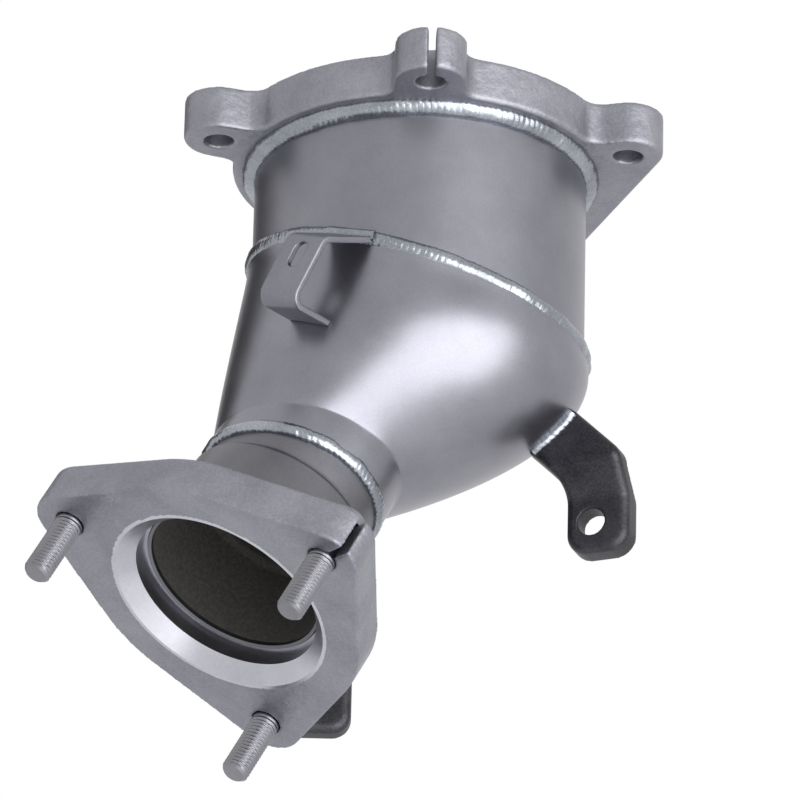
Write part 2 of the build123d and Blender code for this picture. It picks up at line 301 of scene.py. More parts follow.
def soften(piece, voxel, rounds):
    """Rebuilds a piece from small cells so that its edges come out soft, as cast or pressed ones are."""
    remesh = piece.modifiers.new("remesh", "REMESH")
    remesh.mode = "VOXEL"
    remesh.voxel_size = voxel * MM
    smooth = piece.modifiers.new("smooth", "SMOOTH")
    smooth.factor = 0.5
    smooth.iterations = rounds
    fewer = piece.modifiers.new("fewer", "DECIMATE")
    fewer.ratio = KEPT_FACES
    evaluated(piece)
    shade(piece, 60)
    return piece


def cut(piece, cutters):
    """Takes the cutters out of a piece and deletes them."""
    for cutter in cutters:
        hole = piece.modifiers.new("cut", "BOOLEAN")
        hole.operation = "DIFFERENCE"
        hole.solver = "EXACT"
        hole.object = cutter
    evaluated(piece)
    for cutter in cutters:
        bpy.data.objects.remove(cutter)
    return piece


def rod(name, radius, low, high, place=None, count=64):
    """Solid cylinder along Z between two heights."""
    angles = [360 * k / count for k in range(count)]
    vertices = [polar(radius, a) + Vector((0, 0, z)) for z in (low, high) for a in angles]
    faces = [(k, (k + 1) % count, (k + 1) % count + count, k + count) for k in range(count)]
    faces += [tuple(range(count)), tuple(range(count, 2 * count))]
    return build_mesh(name, vertices, faces, place)


def bar(name, low, high, place=None):
    """Solid box between two corners."""
    xs, ys, zs = zip(low, high)
    corners = [(x, y, z) for x in xs for y in ys for z in zs]
    faces = [(0, 1, 3, 2), (4, 6, 7, 5), (0, 4, 5, 1), (2, 3, 7, 6), (0, 2, 6, 4), (1, 5, 7, 3)]
    return build_mesh(name, corners, faces, place)


def finish_piece(piece, node, material):
    """Gives a piece its material and its place in the frame."""
    piece.data.materials.clear()
    piece.data.materials.append(material)
    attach(piece, BODY)
    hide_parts(node)


def second_finish(piece, material, first, last=None):
    """Gives the faces between two numbers a finish of their own."""
    piece.data.materials.append(material)
    for face in piece.data.polygons[first:last]:
        face.material_index = 1


def join(piece, other):
    """Adds the mesh of another piece, whose faces come last."""
    work = bmesh.new()
    work.from_mesh(piece.data)
    work.from_mesh(other.data)
    work.to_mesh(piece.data)
    work.free()
    bpy.data.objects.remove(other)


# Shapes of the flanges, as the distance from the axis at an angle


def around(degrees, axis_degrees):
    return (degrees - axis_degrees + 180) % 360 - 180


def inlet_radius(degrees):
    """Outline of the inlet flange: ring, ears with filleted roots and the web."""
    best = INLET_RING
    step = 360 / INLET_EARS
    far = INLET_RING + INLET_FILLET
    root = math.asin((INLET_LOBE + INLET_FILLET) / far)
    side = math.atan2(INLET_LOBE, far * math.cos(root))
    for k in range(INLET_EARS):
        phi = abs(math.radians(around(degrees, INLET_FIRST_EAR + k * step)))
        if phi < math.atan2(INLET_LOBE, INLET_BOLT):
            inside = INLET_LOBE**2 - (INLET_BOLT * math.sin(phi)) ** 2
            best = max(best, INLET_BOLT * math.cos(phi) + math.sqrt(inside))
        elif phi < side:
            best = max(best, INLET_LOBE / math.sin(phi))
        elif phi < root:
            inside = INLET_FILLET**2 - (far * math.sin(phi - root)) ** 2
            best = max(best, far * math.cos(phi - root) - math.sqrt(inside))
    middle = INLET_FIRST_EAR + sum(INLET_WEB_EARS) / 2 * step
    offset = math.radians(around(degrees, middle))
    half = math.radians(step / 2)
    reach = INLET_BOLT * math.cos(half) + INLET_LOBE
    if abs(offset) < math.pi / 2 and reach * math.tan(abs(offset)) < INLET_BOLT * math.sin(half):
        best = max(best, reach / math.cos(offset))
    return best


def outlet_radius(degrees):
    """Outline of the outlet flange: straight sides from its ring to its ears."""
    best = OUTLET_RING
    lean = math.acos((OUTLET_RING - OUTLET_LOBE) / OUTLET_BOLT)
    corner = polar(OUTLET_BOLT, 0) + polar(OUTLET_LOBE, math.degrees(lean))
    tangent = math.atan2(corner.y, corner.x)
    for k in range(OUTLET_EARS):
        phi = abs(math.radians(around(degrees, OUTLET_FIRST_EAR + k * 360 / OUTLET_EARS)))
        if phi < tangent:
            inside = OUTLET_LOBE**2 - (OUTLET_BOLT * math.sin(phi)) ** 2
            best = max(best, OUTLET_BOLT * math.cos(phi) + math.sqrt(max(inside, 0)))
        elif phi < lean:
            best = max(best, OUTLET_RING / math.cos(phi - lean))
    return best


def flange_rings(outline, thickness, bore, count=720):
    """Rings round a flange: outer side, back and the steps of its bore, as (radius, depth) pairs."""
    angles = [360 * k / count for k in range(count)]
    rings = []
    for inset, depth in ((0, 0), (0, thickness - EDGE_BREAK), (EDGE_BREAK, thickness)):
        rings.append([polar(outline(a) - inset, a) - Vector((0, 0, depth)) for a in angles])
    for radius, depth in bore:
        rings.append([polar(radius, a) - Vector((0, 0, depth)) for a in angles])
    return rings


def make_inlet_flange(material):
    bore = [(CAN_RADIUS + SLIP, INLET_THICKNESS), (CAN_RADIUS + SLIP, 0)]
    piece = loop_rings("inlet_flange_cast", flange_rings(inlet_radius, INLET_THICKNESS, bore))
    cutters = []
    for k in range(INLET_EARS):
        centre = polar(INLET_BOLT, INLET_FIRST_EAR + k * 360 / INLET_EARS)
        cutters.append(rod("hole", INLET_HOLE, -2 * INLET_THICKNESS, INLET_THICKNESS, move(*centre)))
    corner = (INLET_BOLT, -SLIT_WIDTH / 2, -2 * INLET_THICKNESS)
    opposite = (INLET_BOLT + 2 * INLET_LOBE, SLIT_WIDTH / 2, INLET_THICKNESS)
    cutters.append(bar("slit", corner, opposite, turn("Z", INLET_FIRST_EAR)))
    cut(piece, cutters)
    soften(piece, INLET_GRID, CAST_ROUNDS)
    finish_piece(piece, "inlet_flange", material)


def make_outlet_flange(material, machined):
    edge = OUTLET_SEAT + SEAT_RIM
    bore = [(edge, OUTLET_THICKNESS), (edge, 0)]
    piece = loop_rings("outlet_flange_cast", flange_rings(outlet_radius, OUTLET_THICKNESS, bore), OUTLET)
    corner = (OUTLET_BOLT, -SLIT_WIDTH / 2, -2 * OUTLET_THICKNESS)
    opposite = (OUTLET_BOLT + 2 * OUTLET_LOBE, SLIT_WIDTH / 2, OUTLET_THICKNESS)
    cutters = [bar("slit", corner, opposite, OUTLET @ turn("Z", OUTLET_FIRST_EAR))]
    for place in stud_places():
        cutters.append(rod("hole", STUD_RADIUS + SLIP, -2 * OUTLET_THICKNESS, OUTLET_THICKNESS, place))
    cut(piece, cutters)
    soften(piece, OUTLET_GRID, CAST_ROUNDS)
    first = len(piece.data.polygons)
    back = SLIP - OUTLET_THICKNESS
    pipe = PIPE_END_RADIUS + SLIP
    hold = edge + SEAT_HOLD
    profile = [(hold, back), (hold, -SLIP), (OUTLET_SEAT, -SLIP), (OUTLET_BORE, -OUTLET_SEAT_DEPTH)]
    profile += [(OUTLET_BORE, -SOCKET_DEPTH), (pipe, -SOCKET_DEPTH), (pipe, back)]
    join(piece, lathe("seat", profile, OUTLET))
    shade(piece, 40)
    finish_piece(piece, "outlet_flange", material)
    # The ring's last band is its back, which stays as cast.
    second_finish(piece, machined, first, -TURNED_SIDES)


# Sheet-metal shells


def make_can(material):
    count = CAN_SIDES
    outer = CAN_RADIUS
    inner = CAN_RADIUS - CAN_WALL
    slope = math.tan(math.radians(JOINT_TILT))
    low = joint_place(JOINT_LAP).translation.z

    def ring(radius, z):
        points = []
        for k in range(count):
            point = polar(radius, 360 * k / count)
            if z is None:
                point.z = low - slope * (point @ polar(1, JOINT_AZIMUTH))
            else:
                point.z = z
            points.append(point)
        return points

    top = -CAN_RECESS
    brim = CAN_WALL / 4
    rings = [ring(outer - brim, top), ring(outer, top - brim), ring(outer, None)]
    rings += [ring(inner, None), ring(inner, top - brim), ring(inner + brim, top)]
    piece = loop_rings("can_wall", rings)
    shade(piece)
    finish_piece(piece, "catalyst_can", material)


def dome_ring(share, inset, count):
    """Section of the cone between its sleeve and its collar, a share of the way down."""
    top = joint_place(SLEEVE_LENGTH)
    end = collar_place(COLLAR_START, COLLAR_START_SKEW)
    top_deep = CAN_RADIUS + SLIP + CONE_WALL - inset
    end_deep = PIPE_RADIUS + SLIP + CONE_WALL - inset
    top_wide = top_deep / math.cos(math.radians(JOINT_TILT))
    end_wide = end_deep / math.cos(math.radians(COLLAR_START_SKEW))
    lean = polar(1, LEAN_AZIMUTH)
    top_edge = top @ Vector((top_wide * lean.x, top_deep * lean.y, 0))
    end_edge = end @ Vector((end_wide * lean.x, -end_deep * lean.y, 0))
    edge = top_edge.lerp(end_edge, share)
    shrink = 1 - (1 - share**DOME_START_POWER) ** DOME_END_POWER
    x = direction(top, 0).lerp(direction(end, 0), shrink).normalized()
    z = direction(top, 2).lerp(-direction(end, 2), shrink).normalized()
    x = (x - z * x.dot(z)).normalized()
    y = z.cross(x)
    wide = top_wide + (end_wide - top_wide) * shrink
    deep = top_deep + (end_deep - top_deep) * shrink
    centre = edge - x * (wide * lean.x) - y * (deep * lean.y)
    angles = [2 * math.pi * k / count for k in range(count)]
    return [centre + x * (wide * math.cos(a)) + y * (deep * math.sin(a)) for a in angles]


def cone_skin(inset, count):
    """Rings down one side of the cone's wall: sleeve, dome and collar."""
    rings = []
    radius = CAN_RADIUS + SLIP + CONE_WALL - inset
    wide = radius / math.cos(math.radians(JOINT_TILT))
    for step in range(SLEEVE_STEPS):
        rings.append(ellipse(joint_place(SLEEVE_LENGTH * step / SLEEVE_STEPS), wide, radius, count))
    for step in range(DOME_STEPS + 1):
        share = math.sin(math.pi / 2 * step / DOME_STEPS)
        rings.append(dome_ring(share, inset, count))
    radius = PIPE_RADIUS + SLIP + CONE_WALL - inset
    for step in range(1, COLLAR_STEPS + 1):
        share = step / COLLAR_STEPS
        skew = COLLAR_START_SKEW + (COLLAR_END_SKEW - COLLAR_START_SKEW) * share
        place = collar_place(COLLAR_START + (COLLAR_END - COLLAR_START) * share, skew)
        rings.append(ellipse(place, radius / math.cos(math.radians(skew)), radius, count, -1))
    relax(rings, 1, len(rings) - 2, CORNER_ROUNDS)
    return rings


def make_cone(material, sooted):
    count = CONE_SIDES
    rings = cone_skin(0, count) + cone_skin(CONE_WALL, count)[::-1]
    piece = loop_rings("cone_wall", rings)
    shade(piece)
    finish_piece(piece, "outlet_cone", material)
    second_finish(piece, sooted, len(rings) // 2 * count)


def make_pipe(material, sooted):
    top = -COLLAR_END - PIPE_LAP
    outer = [(PIPE_RADIUS, top), (PIPE_RADIUS, -PIPE_FLARE_DISTANCE - PIPE_FLARE - 1)]
    for step in range(PIPE_FLARE_STEPS + 1):
        share = step / PIPE_FLARE_STEPS
        rise = share * share * (3 - 2 * share)
        radius = PIPE_RADIUS + (PIPE_END_RADIUS - PIPE_RADIUS) * rise
        outer.append((radius, -PIPE_FLARE_DISTANCE - PIPE_FLARE * (1 - share)))
    outer.append((PIPE_END_RADIUS, -PIPE_END_DEPTH - PIPE_LIP))
    outer.append((PIPE_END_RADIUS, -PIPE_END_DEPTH - PIPE_END_RUN))
    outer.append((PIPE_END_RADIUS - PIPE_END_BREAK, -PIPE_END_DEPTH))
    inner = [(radius - PIPE_WALL, z) for radius, z in reversed(outer[:-1])]
    piece = lathe("pipe_wall", outer + inner, OUTLET)
    shade(piece)
    finish_piece(piece, "outlet_pipe", material)
    faces = len(piece.data.polygons)
    second_finish(piece, sooted, faces * (len(outer) + 1) // (len(outer) + len(inner)))


def stud_places():
    for k in range(OUTLET_EARS):
        yield OUTLET @ move(*polar(OUTLET_BOLT, OUTLET_FIRST_EAR + k * 360 / OUTLET_EARS))


# Pieces that node trees make


def new_tree(name, sizes, base=None):
    """Tree with named inputs: a mesh to work on if it has one, each size and the material."""
    tree = bpy.data.node_groups.new(name, "GeometryNodeTree")
    tree.interface.new_socket("Geometry", in_out="OUTPUT", socket_type="NodeSocketGeometry")
    if base:
        tree.interface.new_socket(base, in_out="INPUT", socket_type="NodeSocketGeometry")
    for key, value in sizes.items():
        kind = "NodeSocketInt" if isinstance(value, int) else "NodeSocketFloat"
        tree.interface.new_socket(key, in_out="INPUT", socket_type=kind)
    tree.interface.new_socket("Material", in_out="INPUT", socket_type="NodeSocketMaterial")
    return tree, add(tree, "NodeGroupInput").outputs


def end_tree(tree, geometry, material):
    whole = add(tree, "GeometryNodeRealizeInstances", {"Geometry": geometry}).outputs["Geometry"]
    done = add(tree, "GeometryNodeSetMaterial", {"Geometry": whole, "Material": material})
    add(tree, "NodeGroupOutput", {"Geometry": done.outputs["Geometry"]})


def grown(name, tree, sizes, material, place, base=None):
    """Piece that a tree makes from sizes in millimetres, put in its place."""
    piece = bpy.data.objects.new(name, base or bpy.data.meshes.new(name))
    bpy.context.scene.collection.objects.link(piece)
    modifier = piece.modifiers.new(name, "NODES")
    modifier.node_group = tree
    values = {**sizes, "Material": material}
    for item in tree.interface.items_tree:
        if item.in_out == "INPUT" and item.name in values:
            modifier[item.identifier] = values[item.name]
    evaluated(piece)
    piece.data.transform(Matrix.Scale(MM, 4) @ place)
    clean_mesh(piece.data, 1e-7)
    return piece


def vector(tree, x=0.0, y=0.0, z=0.0):
    return add(tree, "ShaderNodeCombineXYZ", {"X": x, "Y": y, "Z": z}).outputs["Vector"]


def along(tree, direction_socket, length):
    """Vector of a length that is worked out at each point, in a direction."""
    inputs = {0: direction_socket, "Scale": length}
    return add(tree, "ShaderNodeVectorMath", inputs, operation="SCALE").outputs["Vector"]


def position(tree):
    """Sockets for the X, Y and Z of each point."""
    place = add(tree, "GeometryNodeInputPosition").outputs["Position"]
    return add(tree, "ShaderNodeSeparateXYZ", {"Vector": place}).outputs


def angle_round(tree, x, y):
    """Share of a full turn at which a point lies round Z."""
    return calculate(tree, "DIVIDE", calculate(tree, "ARCTAN2", y, x), 2 * math.pi)


def captured(tree, geometry, name, value):
    """Geometry that carries a value with it, and the value's socket."""
    node = add(tree, "GeometryNodeCaptureAttribute", {"Geometry": geometry})
    node.capture_items.new("FLOAT", name)
    tree.links.new(value, node.inputs[name])
    return node.outputs["Geometry"], node.outputs[name]


def bead_line(tree, size):
    """Path of a bead, thin at its open ends, and the count of ripples at each point of it."""
    line = add(tree, "GeometryNodeMeshToCurve", {"Mesh": size["Path"]}).outputs["Curve"]
    inputs = {"Curve": line, "Length": calculate(tree, "MULTIPLY", size["Pitch"], 1 / RIPPLE_STEPS)}
    line = add(tree, "GeometryNodeResampleCurve", inputs, mode="LENGTH").outputs["Curve"]
    line = add(tree, "GeometryNodeSetCurveNormal", {"Curve": line}, mode="Z_UP").outputs["Curve"]
    total = add(tree, "GeometryNodeSplineLength").outputs["Length"]
    ripples = calculate(tree, "ROUND", calculate(tree, "DIVIDE", total, size["Pitch"]))
    share = add(tree, "GeometryNodeSplineParameter").outputs["Factor"]
    line, count = captured(tree, line, "ripple", calculate(tree, "MULTIPLY", share, ripples))
    # An open bead starts and stops thin, and a ring has a taper of nought.
    end = calculate(tree, "MINIMUM", share, calculate(tree, "SUBTRACT", 1.0, share))
    near = calculate(tree, "MINIMUM", calculate(tree, "MULTIPLY", end, BEAD_ENDS), 1.0)
    thin = calculate(tree, "POWER", calculate(tree, "SUBTRACT", 1.0, near), 2.0)
    full = calculate(tree, "SUBTRACT", 1.0, calculate(tree, "MULTIPLY", thin, size["Taper"]))
    line = add(tree, "GeometryNodeSetCurveRadius", {"Curve": line, "Radius": full}).outputs["Curve"]
    return line, count


def bead_oval(tree, size):
    """Section of a bead, flattened at its root, and how far each point lies to its side."""
    inputs = {"Resolution": BEAD_SIDES, "Radius": 1.0}
    oval = add(tree, "GeometryNodeCurvePrimitiveCircle", inputs).outputs["Curve"]
    spot = position(tree)
    oval, side = captured(tree, oval, "side", calculate(tree, "MULTIPLY", spot["Y"], spot["Y"]))
    inputs = {
        "Geometry": oval,
        "Scale": vector(tree, size["Height"], size["Width"], 1.0),
        "Rotation": vector(tree, z=size["Lean"]),
        "Translation": vector(tree, size["Out"], size["Down"]),
    }
    oval = add(tree, "GeometryNodeTransform", inputs).outputs["Geometry"]
    root = calculate(tree, "MULTIPLY", size["Root"], -1.0)
    rooted = vector(tree, calculate(tree, "MAXIMUM", spot["X"], root), spot["Y"])
    inputs = {"Geometry": oval, "Position": rooted}
    return add(tree, "GeometryNodeSetPosition", inputs).outputs["Geometry"], side


def bead_swell(tree, side, count):
    """Height of a bead's skin: it dips once for each ripple and wanders a little."""
    # The ripples bow, because the pool of weld freezes last in its middle.
    phase = calculate(tree, "FRACT", calculate(tree, "MULTIPLY_ADD", side, RIPPLE_BOW, count))
    dip = calculate(tree, "POWER", calculate(tree, "SUBTRACT", 1.0, phase), 2.0)
    wander = add(tree, "ShaderNodeTexNoise", {"Scale": WANDER_SCALE, "Detail": 2.0}).outputs["Fac"]
    uneven = calculate(tree, "MULTIPLY_ADD", wander, BEAD_WANDER, -BEAD_WANDER / 2)
    return calculate(tree, "SUBTRACT", uneven, calculate(tree, "MULTIPLY", dip, RIPPLE_DEPTH))


def bead_tree(sizes):
    """Weld bead along a path: an oval section whose skin dips once for each ripple."""
    tree, size = new_tree("weld_bead", sizes, "Path")
    line, count = bead_line(tree, size)
    oval, side = bead_oval(tree, size)
    inputs = {"Curve": line, "Profile Curve": oval, "Fill Caps": True}
    bead = add(tree, "GeometryNodeCurveToMesh", inputs).outputs["Mesh"]
    normal = add(tree, "GeometryNodeInputNormal").outputs["Normal"]
    offset = along(tree, normal, bead_swell(tree, side, count))
    bead = add(tree, "GeometryNodeSetPosition", {"Geometry": bead, "Offset": offset})
    end_tree(tree, bead.outputs["Geometry"], size["Material"])
    return tree


def path_mesh(points, closed):
    """Line of edges through points, for a bead to follow."""
    mesh = bpy.data.meshes.new("path")
    edges = [(k, k + 1) for k in range(len(points) - 1)]
    if closed:
        edges.append((len(points) - 1, 0))
    mesh.from_pydata([tuple(p) for p in points], edges, [])
    return mesh


def foot_path(node, front, count=FOOT_POINTS):
    """Points in millimetres where a bracket meets the shell, on the side that a direction points to."""
    shell = bmesh.new()
    for name in ("outlet_cone", "catalyst_can", "joint_weld"):
        shell.from_mesh(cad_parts[name].data)
    tree = BVHTree.FromBMesh(shell)
    shell.free()
    corners = [v.co.copy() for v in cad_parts[node].data.vertices]
    foot = [corner for corner in corners if tree.find_nearest(corner)[3] < FOOT_GAP * MM]
    middle = sum(foot, Vector()) / len(foot)
    across = tree.find_nearest(middle)[1].cross(front).normalized()
    foot.sort(key=lambda point: (point - middle) @ across)
    start = foot[0] @ across
    width = (foot[-1] @ across - start) / count
    path = []
    for k in range(count):
        inside = [p for p in foot if k <= (p @ across - start) / width <= k + 1]
        if inside:
            path.append(max(inside, key=lambda point: point @ front) / MM)
    return path


def lap_section(leg):
    """Section of a bead that lies on the edge of a lapped sheet."""
    return {**upright(leg, RING_BEAD_SPREAD * leg), "Root": BEAD_ROOT}


def round_section(leg):
    """Full section of a bead that lies in a corner of sheet."""
    return {**upright(leg, FOOT_BEAD_SPREAD * leg), "Root": leg}


def upright(height, width):
    return {"Height": height, "Width": width, "Lean": 0.0, "Out": 0.0, "Down": 0.0}


def corner_section(leg):
    """Section that leans at half a right angle across a corner."""
    sizes = {"Height": CORNER_HEIGHT * leg, "Width": CORNER_WIDTH * leg, "Lean": math.pi / 4}
    return {**sizes, "Out": CORNER_SHIFT * leg, "Down": CORNER_SHIFT * leg, "Root": BEAD_ROOT}


def skewed_ring(place, radius, skew, count):
    """Ring in which a tube of a radius meets a plane that is skewed to it."""
    return ellipse(place, radius / math.cos(math.radians(skew)), radius, count)


def make_welds(material):
    """Beads on the lap joints, in the flanges' corners and at the support bracket's foot."""
    joint = joint_place(0)
    neck = collar_place(COLLAR_END, COLLAR_END_SKEW)
    joint_ring = skewed_ring(joint, CAN_RADIUS + SLIP, JOINT_TILT, CAN_RING_POINTS)
    neck_ring = skewed_ring(neck, PIPE_RADIUS + SLIP, COLLAR_END_SKEW, PIPE_RING_POINTS)
    below = move(0, 0, -INLET_THICKNESS)
    inlet_ring = ellipse(below, CAN_RADIUS, CAN_RADIUS, CAN_RING_POINTS)
    behind = OUTLET @ move(0, 0, -OUTLET_THICKNESS)
    flange_ring = ellipse(behind, PIPE_END_RADIUS, PIPE_END_RADIUS, PIPE_RING_POINTS)
    foot = foot_path("support_bracket", polar(1, HANG_TURN - 90))
    upright_place = move(0, 0, 0)
    beads = [
        ("joint", joint, joint_ring, lap_section(JOINT_BEAD)),
        ("neck", neck, neck_ring, lap_section(NECK_BEAD)),
        ("inlet", upright_place, inlet_ring, corner_section(INLET_BEAD)),
        ("flange", OUTLET, flange_ring, corner_section(FLANGE_BEAD)),
        ("support_bracket", upright_place, foot, round_section(BRACKET_BEAD)),
    ]
    tree = bead_tree({**beads[0][3], "Pitch": RIPPLE_PITCH, "Taper": 0.0})
    for name, place, points, section in beads:
        level = place.inverted()
        closed = name != "support_bracket"
        mesh = path_mesh([level @ point for point in points], closed)
        sizes = {**section, "Pitch": RIPPLE_PITCH, "Taper": 0.0 if closed else FOOT_TAPER}
        piece = grown(f"{name}_bead", tree, sizes, material, place, mesh)
        shade(piece, 50)
        finish_piece(piece, f"{name}_weld", material)


def threaded_shank(tree, size):
    """Shank with a helical thread that runs out at the flange, and a bevelled point."""
    inputs = {
        "Vertices": SHANK_SIDES,
        "Side Segments": size["Rows"],
        "Radius": size["Radius"],
        "Depth": size["Length"],
    }
    shank = add(tree, "GeometryNodeMeshCylinder", inputs).outputs["Mesh"]
    spot = position(tree)
    half = calculate(tree, "MULTIPLY", size["Length"], 0.5)
    height = calculate(tree, "ADD", spot["Z"], half)
    turns = calculate(tree, "DIVIDE", height, size["Pitch"])
    angle = angle_round(tree, spot["X"], spot["Y"])
    phase = calculate(tree, "FRACT", calculate(tree, "SUBTRACT", turns, angle))
    tooth = calculate(tree, "ABSOLUTE", calculate(tree, "MULTIPLY_ADD", phase, 2.0, -1.0))
    groove = calculate(tree, "MULTIPLY", calculate(tree, "SUBTRACT", 1.0, tooth), size["Thread depth"])
    runout = calculate(tree, "MINIMUM", calculate(tree, "MULTIPLY", turns, THREAD_RUNOUT), 1.0)
    left = calculate(tree, "SUBTRACT", size["Length"], height)
    point = calculate(tree, "SUBTRACT", size["Point"], left)
    depth = calculate(tree, "MAXIMUM", calculate(tree, "MULTIPLY", groove, runout), point)
    share = calculate(tree, "SUBTRACT", 1.0, calculate(tree, "DIVIDE", depth, size["Radius"]))
    x = calculate(tree, "MULTIPLY", spot["X"], share)
    y = calculate(tree, "MULTIPLY", spot["Y"], share)
    inputs = {"Geometry": shank, "Position": vector(tree, x, y, spot["Z"])}
    shank = add(tree, "GeometryNodeSetPosition", inputs).outputs["Geometry"]
    inputs = {"Geometry": shank, "Translation": vector(tree, z=half)}
    return add(tree, "GeometryNodeTransform", inputs).outputs["Geometry"]


def stud_head(tree, size):
    """Head behind the flange."""
    inputs = {"Vertices": HEAD_SIDES, "Radius": size["Head radius"], "Depth": size["Head height"]}
    head = add(tree, "GeometryNodeMeshCylinder", inputs).outputs["Mesh"]
    back = calculate(tree, "MULTIPLY", size["Depth"], -1.0)
    below = calculate(tree, "MULTIPLY_ADD", size["Head height"], -0.5, back)
    inputs = {"Geometry": head, "Translation": vector(tree, z=below)}
    return add(tree, "GeometryNodeTransform", inputs).outputs["Geometry"]


def stud_tree(sizes):
    """Threaded studs on a circle, each with a head behind the flange."""
    tree, size = new_tree("threaded_studs", sizes)
    stud = add(tree, "GeometryNodeJoinGeometry", {"Geometry": threaded_shank(tree, size)})
    tree.links.new(stud_head(tree, size), stud.inputs["Geometry"])
    inputs = {"Vertices": size["Studs"], "Radius": size["Circle"]}
    ring = add(tree, "GeometryNodeMeshCircle", inputs).outputs["Mesh"]
    inputs = {"Geometry": ring, "Rotation": vector(tree, z=size["First"])}
    ring = add(tree, "GeometryNodeTransform", inputs).outputs["Geometry"]
    inputs = {"Points": ring, "Instance": stud.outputs["Geometry"]}
    studs = add(tree, "GeometryNodeInstanceOnPoints", inputs)
    end_tree(tree, studs.outputs["Instances"], size["Material"])
    return tree


def make_studs(material):
    rows = round(STUD_LENGTH / THREAD_PITCH * THREAD_ROWS)
    sizes = {"Radius": STUD_RADIUS, "Length": STUD_LENGTH, "Rows": rows, "Pitch": THREAD_PITCH}
    sizes.update({"Thread depth": THREAD_DEPTH, "Point": STUD_POINT, "Head radius": STUD_HEAD_RADIUS})
    sizes.update({"Head height": STUD_HEAD_HEIGHT, "Depth": OUTLET_THICKNESS, "Studs": OUTLET_EARS})
    sizes.update({"Circle": OUTLET_BOLT, "First": math.radians(OUTLET_FIRST_EAR)})
    piece = grown("studs_threaded", stud_tree(sizes), sizes, material, OUTLET)
    shade(piece, 40)
    finish_piece(piece, "outlet_studs", material)


def cell_grid(tree, size):
    """Round patch of a square grid, one face for each channel."""
    across = calculate(tree, "MULTIPLY", size["Cells"], size["Pitch"])
    corners = calculate(tree, "ADD", size["Cells"], 1.0)
    inputs = {"Size X": across, "Size Y": across, "Vertices X": corners, "Vertices Y": corners}
    grid = add(tree, "GeometryNodeMeshGrid", inputs).outputs["Mesh"]
    place = add(tree, "GeometryNodeInputPosition").outputs["Position"]
    away = add(tree, "ShaderNodeVectorMath", {0: place}, operation="LENGTH").outputs["Value"]
    margin = calculate(tree, "MULTIPLY", size["Pitch"], CELL_MARGIN)
    outside = calculate(tree, "GREATER_THAN", away, calculate(tree, "SUBTRACT", size["Radius"], margin))
    inputs = {"Geometry": grid, "Selection": outside}
    return add(tree, "GeometryNodeDeleteGeometry", inputs, domain="FACE").outputs["Geometry"]


def cell_lattice(tree, size):
    """The grid with a hole in each face, which leaves the walls between the channels."""
    inputs = {"Mesh": cell_grid(tree, size), "Offset Scale": 0.0, "Individual": True}
    split = add(tree, "GeometryNodeExtrudeMesh", inputs, mode="FACES").outputs
    share = calculate(tree, "SUBTRACT", 1.0, calculate(tree, "DIVIDE", size["Wall"], size["Pitch"]))
    inputs = {"Geometry": split["Mesh"], "Selection": split["Top"], "Scale": share}
    shrunk = add(tree, "GeometryNodeScaleElements", inputs, domain="FACE").outputs["Geometry"]
    inputs = {"Geometry": shrunk, "Selection": split["Top"]}
    return add(tree, "GeometryNodeDeleteGeometry", inputs, domain="FACE").outputs["Geometry"]


def brick_skin(tree, size):
    """Closed skin round the channels."""
    middle = calculate(tree, "SUBTRACT", size["Radius"], calculate(tree, "MULTIPLY", size["Skin"], 0.5))
    inputs = {"Resolution": SKIN_SIDES, "Radius": middle}
    ring = add(tree, "GeometryNodeCurvePrimitiveCircle", inputs).outputs["Curve"]
    ring = add(tree, "GeometryNodeSetCurveNormal", {"Curve": ring}, mode="Z_UP").outputs["Curve"]
    inputs = {"Width": size["Skin"], "Height": size["Length"]}
    section = add(tree, "GeometryNodeCurvePrimitiveQuadrilateral", inputs).outputs["Curve"]
    inputs = {"Curve": ring, "Profile Curve": section}
    skin = add(tree, "GeometryNodeCurveToMesh", inputs).outputs["Mesh"]
    half = vector(tree, z=calculate(tree, "MULTIPLY", size["Length"], -0.5))
    inputs = {"Geometry": skin, "Translation": half}
    return add(tree, "GeometryNodeTransform", inputs).outputs["Geometry"]


def honeycomb_tree(sizes):
    """Round brick of square channels: a lattice drawn out to the brick's length, inside a skin."""
    tree, size = new_tree("honeycomb", sizes)
    lattice = cell_lattice(tree, size)
    drop = vector(tree, z=calculate(tree, "MULTIPLY", size["Length"], -1.0))
    inputs = {"Mesh": lattice, "Offset": drop, "Offset Scale": 1.0, "Individual": False}
    walls = add(tree, "GeometryNodeExtrudeMesh", inputs, mode="FACES").outputs["Mesh"]
    brick = add(tree, "GeometryNodeJoinGeometry", {"Geometry": walls})
    tree.links.new(lattice, brick.inputs["Geometry"])
    tree.links.new(brick_skin(tree, size), brick.inputs["Geometry"])
    end_tree(tree, brick.outputs["Geometry"], size["Material"])
    return tree


def make_monolith(material):
    cells = 2 * int(MONOLITH_RADIUS / CELL_PITCH)
    sizes = {"Radius": MONOLITH_RADIUS, "Length": MONOLITH_LENGTH, "Cells": cells, "Pitch": CELL_PITCH}
    sizes.update({"Wall": CELL_WALL, "Skin": MONOLITH_SKIN})
    piece = grown("honeycomb_brick", honeycomb_tree(sizes), sizes, material, move(0, 0, MONOLITH_TOP))
    shade(piece, 30)
    finish_piece(piece, "monolith", material)


def make_bracket(name, node, material):
    """Softer copy of a bracket, with rounded sheet edges."""
    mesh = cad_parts[node].data.copy()
    piece = bpy.data.objects.new(name, mesh)
    bpy.context.scene.collection.objects.link(piece)
    clean_mesh(mesh, 1e-6)
    soften(piece, BRACKET_GRID, PRESSED_ROUNDS)
    finish_piece(piece, node, material)


# Materials

# Handling and heat leave clouds about as wide as a thumb, which vary the colour and the polish.
CLOUD_SIZE = 22
CLOUD_SHARE = 0.6
ROUGH_SPREAD = 0.06


